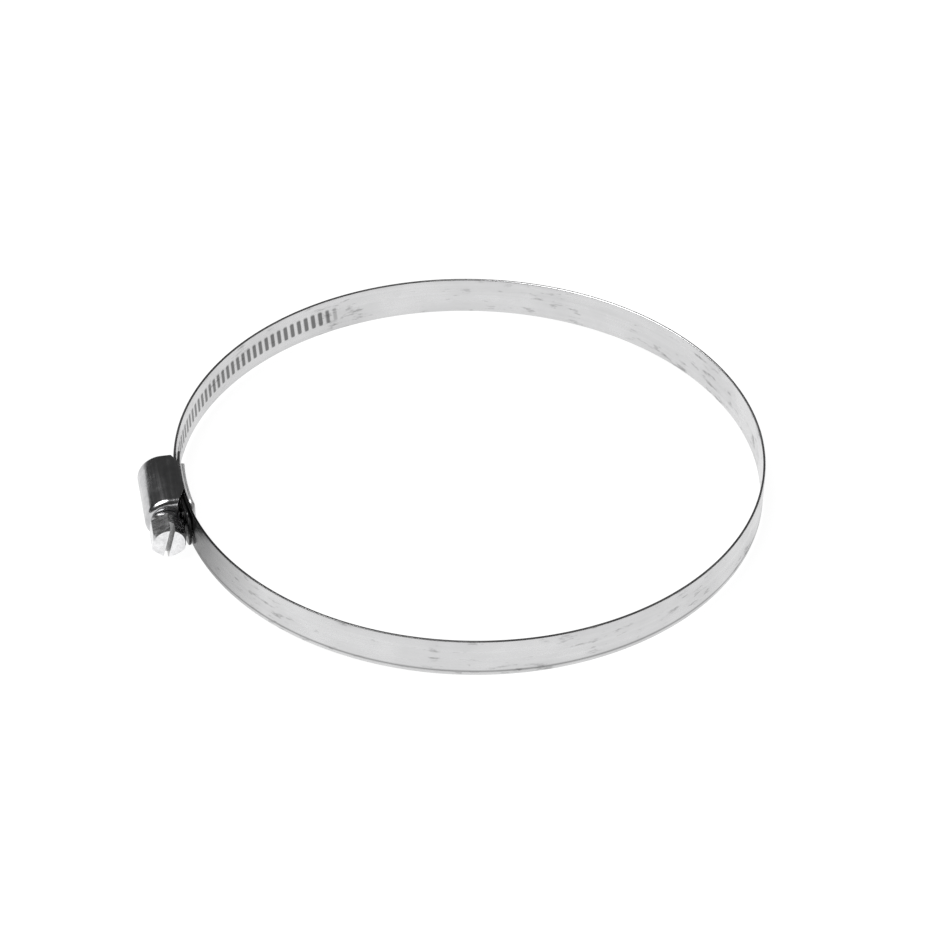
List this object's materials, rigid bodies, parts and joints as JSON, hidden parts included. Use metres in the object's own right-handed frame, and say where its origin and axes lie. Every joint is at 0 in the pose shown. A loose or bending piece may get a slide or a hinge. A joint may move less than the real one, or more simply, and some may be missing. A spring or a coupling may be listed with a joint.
{
  "type": "worm-drive hose clamp",
  "caption": "Worm-drive hose clamp: a steel band with a pressed thread runs through a housing, where a slotted hexagon screw draws it tight round a duct or hose.",
  "frame": {"origin": "middle of the whole clamp's footprint, on the surface that it lies on, which is the plane of the housing's lower side", "axes": "+Z along the ring's axis; the housing is at -X and the screw's head points to -Y"},
  "size_m": [0.1362, 0.1283, 0.0108],
  "materials": {
    "band_steel": "bright rolled, satin",
    "housing_steel": "bright pressed sheet",
    "screw_steel": "bright zinc plate"
  },
  "bodies": {
    "housing": {"housing_shell": "housing_steel", "saddle_plate": "housing_steel", "band_fixed_end": "band_steel"},
    "worm_screw": {"worm_screw": "screw_steel"},
    "band_01": {"band_01": "band_steel"},
    "band_02": {"band_02": "band_steel"},
    "band_03": {"band_03": "band_steel"},
    "band_04": {"band_04": "band_steel"},
    "band_05": {"band_05": "band_steel"},
    "band_06": {"band_06": "band_steel"},
    "band_07": {"band_07": "band_steel"},
    "band_08": {"band_08": "band_steel"},
    "band_09": {"band_09": "band_steel"},
    "band_10": {"band_10": "band_steel"},
    "band_11": {"band_11": "band_steel"},
    "band_12": {"band_12": "band_steel"},
    "band_13": {"band_13": "band_steel"},
    "band_14": {"band_14": "band_steel"},
    "band_15": {"band_15": "band_steel"},
    "band_16": {"band_16": "band_steel"},
    "band_17": {"band_17": "band_steel"},
    "band_18": {"band_18": "band_steel"},
    "band_19": {"band_19": "band_steel"},
    "band_20": {"band_20": "band_steel"},
    "band_21": {"band_21": "band_steel"},
    "band_22": {"band_22": "band_steel"},
    "band_23": {"band_23": "band_steel"},
    "band_24": {"band_24": "band_steel"}
  },
  "joints": [
    {"name": "screw_turn", "type": "hinge", "parent": "housing", "child": "worm_screw", "pos_m": [-0.06388, -0.00022, 0.0054], "axis": [0, 1, 0], "range_deg": [-1440, 5760]},
    {"name": "band_01_bend", "type": "hinge", "parent": "housing", "child": "band_01", "pos_m": [-0.05922, -0.0107, 0], "axis": [0, 0, 1], "range_deg": [-0.42, 1.66]},
    {"name": "band_02_bend", "type": "hinge", "parent": "housing", "child": "band_02", "pos_m": [-0.05654, -0.01877, 0], "axis": [0, 0, 1], "range_deg": [-0.76, 3]},
    {"name": "band_03_bend", "type": "hinge", "parent": "housing", "child": "band_03", "pos_m": [-0.05245, -0.02614, 0], "axis": [0, 0, 1], "range_deg": [-1.09, 4.33]},
    {"name": "band_04_bend", "type": "hinge", "parent": "housing", "child": "band_04", "pos_m": [-0.04715, -0.03254, 0], "axis": [0, 0, 1], "range_deg": [-1.42, 5.67]},
    {"name": "band_05_bend", "type": "hinge", "parent": "housing", "child": "band_05", "pos_m": [-0.04086, -0.03775, 0], "axis": [0, 0, 1], "range_deg": [-1.76, 7]},
    {"name": "band_06_bend", "type": "hinge", "parent": "housing", "child": "band_06", "pos_m": [-0.03387, -0.0416, 0], "axis": [0, 0, 1], "range_deg": [-2.09, 8.34]},
    {"name": "band_07_bend", "type": "hinge", "parent": "housing", "child": "band_07", "pos_m": [-0.02649, -0.04402, 0], "axis": [0, 0, 1], "range_deg": [-2.43, 9.68]},
    {"name": "band_08_bend", "type": "hinge", "parent": "housing", "child": "band_08", "pos_m": [-0.01902, -0.04497, 0], "axis": [0, 0, 1], "range_deg": [-2.76, 11.01]},
    {"name": "band_09_bend", "type": "hinge", "parent": "housing", "child": "band_09", "pos_m": [-0.01176, -0.04451, 0], "axis": [0, 0, 1], "range_deg": [-3.1, 12.35]},
    {"name": "band_10_bend", "type": "hinge", "parent": "housing", "child": "band_10", "pos_m": [-0.00501, -0.04273, 0], "axis": [0, 0, 1], "range_deg": [-3.43, 13.69]},
    {"name": "band_11_bend", "type": "hinge", "parent": "housing", "child": "band_11", "pos_m": [0.00099, -0.03982, 0], "axis": [0, 0, 1], "range_deg": [-3.76, 15.02]},
    {"name": "band_12_bend", "type": "hinge", "parent": "housing", "child": "band_12", "pos_m": [0.00605, -0.03599, 0], "axis": [0, 0, 1], "range_deg": [-4.1, 16.36]},
    {"name": "band_13_bend", "type": "hinge", "parent": "housing", "child": "band_13", "pos_m": [0.01002, -0.03148, 0], "axis": [0, 0, 1], "range_deg": [-4.43, 17.69]},
    {"name": "band_14_bend", "type": "hinge", "parent": "housing", "child": "band_14", "pos_m": [0.01282, -0.02656, 0], "axis": [0, 0, 1], "range_deg": [-4.76, 19.03]},
    {"name": "band_15_bend", "type": "hinge", "parent": "housing", "child": "band_15", "pos_m": [0.01445, -0.02151, 0], "axis": [0, 0, 1], "range_deg": [-5.1, 20.37]},
    {"name": "band_16_bend", "type": "hinge", "parent": "housing", "child": "band_16", "pos_m": [0.01494, -0.01659, 0], "axis": [0, 0, 1], "range_deg": [-5.43, 21.7]},
    {"name": "band_17_bend", "type": "hinge", "parent": "housing", "child": "band_17", "pos_m": [0.0144, -0.01203, 0], "axis": [0, 0, 1], "range_deg": [-5.77, 23.04]},
    {"name": "band_18_bend", "type": "hinge", "parent": "housing", "child": "band_18", "pos_m": [0.01298, -0.00803, 0], "axis": [0, 0, 1], "range_deg": [-6.1, 24.38]},
    {"name": "band_19_bend", "type": "hinge", "parent": "housing", "child": "band_19", "pos_m": [0.01095, -0.00485, 0], "axis": [0, 0, 1], "range_deg": [-6.42, 25.67]},
    {"name": "band_20_bend", "type": "hinge", "parent": "housing", "child": "band_20", "pos_m": [0.00855, -0.0025, 0], "axis": [0, 0, 1], "range_deg": [-6.74, 26.91]},
    {"name": "band_21_bend", "type": "hinge", "parent": "housing", "child": "band_21", "pos_m": [0.00591, -0.0009, 0], "axis": [0, 0, 1], "range_deg": [-7.05, 28.16]},
    {"name": "band_22_bend", "type": "hinge", "parent": "housing", "child": "band_22", "pos_m": [0.0032, -0.00006, 0], "axis": [0, 0, 1], "range_deg": [-7.36, 29.41]},
    {"name": "band_23_bend", "type": "hinge", "parent": "housing", "child": "band_23", "pos_m": [0.0006, 0.00007, 0], "axis": [0, 0, 1], "range_deg": [-7.67, 30.65]},
    {"name": "band_24_bend", "type": "hinge", "parent": "housing", "child": "band_24", "pos_m": [-0.00176, -0.00043, 0], "axis": [0, 0, 1], "range_deg": [-7.98, 31.9]}
  ],
  "couplings": [
    {"joint": "band_01_bend", "follows": "screw_turn", "ratio": 0.0002807},
    {"joint": "band_02_bend", "follows": "screw_turn", "ratio": 0.00050813},
    {"joint": "band_03_bend", "follows": "screw_turn", "ratio": 0.00073556},
    {"joint": "band_04_bend", "follows": "screw_turn", "ratio": 0.00096299},
    {"joint": "band_05_bend", "follows": "screw_turn", "ratio": 0.0011904},
    {"joint": "band_06_bend", "follows": "screw_turn", "ratio": 0.0014179},
    {"joint": "band_07_bend", "follows": "screw_turn", "ratio": 0.0016453},
    {"joint": "band_08_bend", "follows": "screw_turn", "ratio": 0.0018727},
    {"joint": "band_09_bend", "follows": "screw_turn", "ratio": 0.0021002},
    {"joint": "band_10_bend", "follows": "screw_turn", "ratio": 0.0023276},
    {"joint": "band_11_bend", "follows": "screw_turn", "ratio": 0.002555},
    {"joint": "band_12_bend", "follows": "screw_turn", "ratio": 0.0027825},
    {"joint": "band_13_bend", "follows": "screw_turn", "ratio": 0.0030099},
    {"joint": "band_14_bend", "follows": "screw_turn", "ratio": 0.0032373},
    {"joint": "band_15_bend", "follows": "screw_turn", "ratio": 0.0034648},
    {"joint": "band_16_bend", "follows": "screw_turn", "ratio": 0.0036922},
    {"joint": "band_17_bend", "follows": "screw_turn", "ratio": 0.0039196},
    {"joint": "band_18_bend", "follows": "screw_turn", "ratio": 0.0041471},
    {"joint": "band_19_bend", "follows": "screw_turn", "ratio": 0.0043669},
    {"joint": "band_20_bend", "follows": "screw_turn", "ratio": 0.0045791},
    {"joint": "band_21_bend", "follows": "screw_turn", "ratio": 0.0047913},
    {"joint": "band_22_bend", "follows": "screw_turn", "ratio": 0.0050036},
    {"joint": "band_23_bend", "follows": "screw_turn", "ratio": 0.0052158},
    {"joint": "band_24_bend", "follows": "screw_turn", "ratio": 0.005428}
  ]
}
